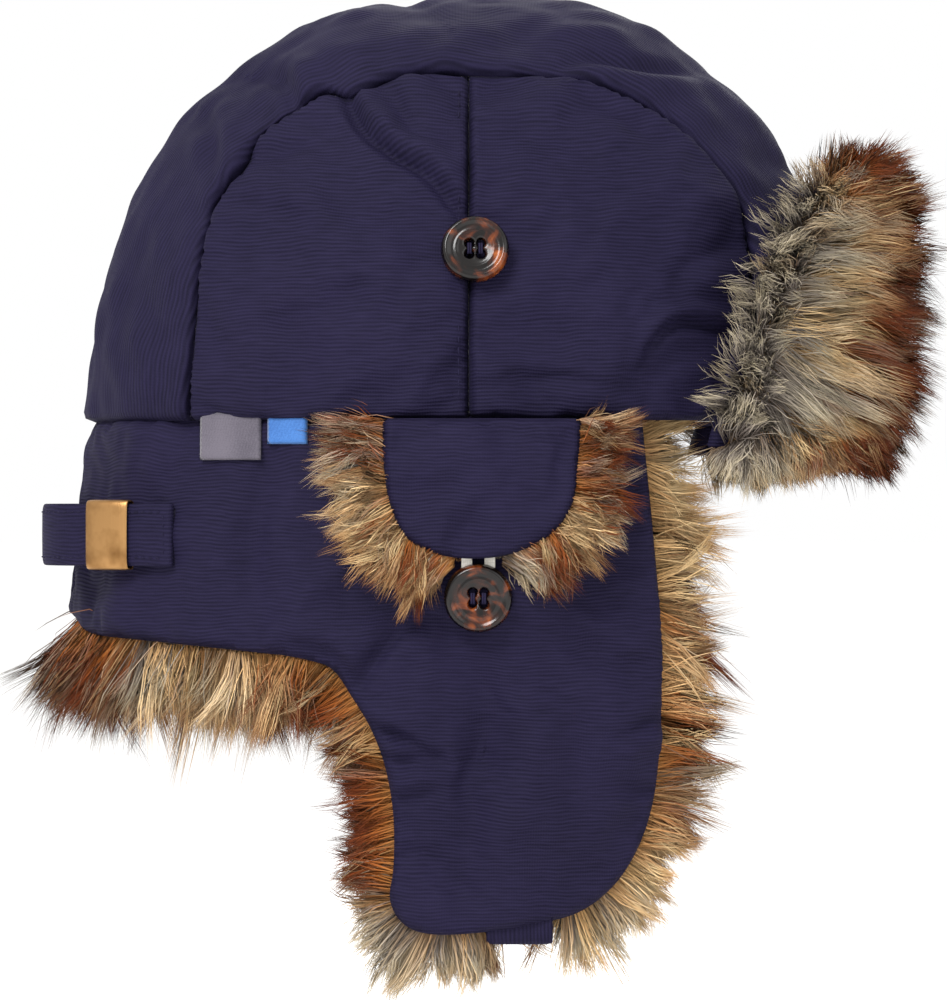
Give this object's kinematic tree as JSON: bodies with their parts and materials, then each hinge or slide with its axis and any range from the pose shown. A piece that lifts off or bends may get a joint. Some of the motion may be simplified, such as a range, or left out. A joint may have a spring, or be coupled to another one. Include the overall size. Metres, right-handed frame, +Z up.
{
  "type": "trapper hat",
  "caption": "Winter trapper hat with a quilted cloth crown, fold-up fur visor, buttoned ear hatches, hanging ear flaps, neck curtain, adjuster strap and fur lining.",
  "frame": {"origin": "centre of the head opening, at the crown's lower edge", "axes": "+X towards the front of the hat, +Y to the wearer's left, +Z up"},
  "size_m": [0.2928, 0.2052, 0.309],
  "materials": {
    "navy_cloth": "fine ribbed weave, matt, water-repellent",
    "fur": "long-pile imitation fur, cream to rust brown",
    "wadding": "soft polyester wadding",
    "lining_cloth": "smooth quilted taffeta",
    "sweatband_cloth": "brushed knit",
    "button_resin": "tortoiseshell resin, polished",
    "thread": "twisted polyester thread",
    "elastic": "knitted elastic tape",
    "brass": "antiqued, brushed",
    "hook_tape": "hook-and-loop tape",
    "grey_tab": "satin woven tab",
    "blue_tab": "satin woven tab"
  },
  "bodies": {
    "crown": {"crown_centre_band": "navy_cloth", "crown_wadding": "wadding", "crown_lining": "lining_cloth", "sweatband": "sweatband_cloth", "adjuster_strap": "navy_cloth", "strap_hook_patch": "hook_tape", "woven_label_grey": "grey_tab", "woven_label_blue": "blue_tab", "crown_side_rear_right": "navy_cloth", "crown_side_front_right": "navy_cloth", "curtain_shell_right": "navy_cloth", "curtain_fur_right": "fur", "crown_button_right": "button_resin", "crown_button_thread_right": "thread", "hatch_button_right": "button_resin", "hatch_button_thread_right": "thread", "crown_side_rear_left": "navy_cloth", "crown_side_front_left": "navy_cloth", "curtain_shell_left": "navy_cloth", "curtain_fur_left": "fur", "crown_button_left": "button_resin", "crown_button_thread_left": "thread", "hatch_button_left": "button_resin", "hatch_button_thread_left": "thread"},
    "strap_keeper": {"strap_keeper": "brass"},
    "visor": {"visor_shell": "navy_cloth", "visor_fur": "fur"},
    "ear_hatch_right": {"ear_hatch_shell_right": "navy_cloth", "ear_hatch_fur_right": "fur", "elastic_loop_right": "elastic"},
    "ear_flap_right": {"ear_flap_shell_right": "navy_cloth", "ear_flap_fur_right": "fur", "chin_strap_root_right": "navy_cloth"},
    "chin_strap_right": {"chin_strap_right": "navy_cloth", "chin_strap_patch_right": "hook_tape"},
    "ear_hatch_left": {"ear_hatch_shell_left": "navy_cloth", "ear_hatch_fur_left": "fur", "elastic_loop_left": "elastic"},
    "ear_flap_left": {"ear_flap_shell_left": "navy_cloth", "ear_flap_fur_left": "fur", "chin_strap_root_left": "navy_cloth"},
    "chin_strap_left": {"chin_strap_left": "navy_cloth", "chin_strap_patch_left": "hook_tape"}
  },
  "joints": [
    {"name": "keeper_slide", "type": "slide", "parent": "crown", "child": "strap_keeper", "axis": [-0.8601, 0.5102, 0], "range_m": [-0.0035, 0.003]},
    {"name": "visor_fold", "type": "hinge", "parent": "crown", "child": "visor", "pos_m": [0.127, 0, -0.011], "axis": [0, 1, 0], "range_deg": [0, 100]},
    {"name": "ear_hatch_fold_right", "type": "hinge", "parent": "crown", "child": "ear_hatch_right", "pos_m": [0.006, -0.1006, -0.001], "axis": [-1, 0, 0], "range_deg": [0, 180], "deforming": ["elastic_loop_right"]},
    {"name": "ear_flap_fold_right", "type": "hinge", "parent": "crown", "child": "ear_flap_right", "pos_m": [0.01, -0.0945, -0.0795], "axis": [-1, 0, 0], "range_deg": [-8, 115]},
    {"name": "chin_strap_fold_right", "type": "hinge", "parent": "ear_flap_right", "child": "chin_strap_right", "pos_m": [0.0175, -0.0717, -0.1668], "axis": [-1, 0, 0], "range_deg": [0, 175]},
    {"name": "ear_hatch_fold_left", "type": "hinge", "parent": "crown", "child": "ear_hatch_left", "pos_m": [0.006, 0.1006, -0.001], "axis": [1, 0, 0], "range_deg": [0, 180], "deforming": ["elastic_loop_left"]},
    {"name": "ear_flap_fold_left", "type": "hinge", "parent": "crown", "child": "ear_flap_left", "pos_m": [0.01, 0.0945, -0.0795], "axis": [1, 0, 0], "range_deg": [-8, 115]},
    {"name": "chin_strap_fold_left", "type": "hinge", "parent": "ear_flap_left", "child": "chin_strap_left", "pos_m": [0.0175, 0.0717, -0.1668], "axis": [1, 0, 0], "range_deg": [0, 175]}
  ]
}
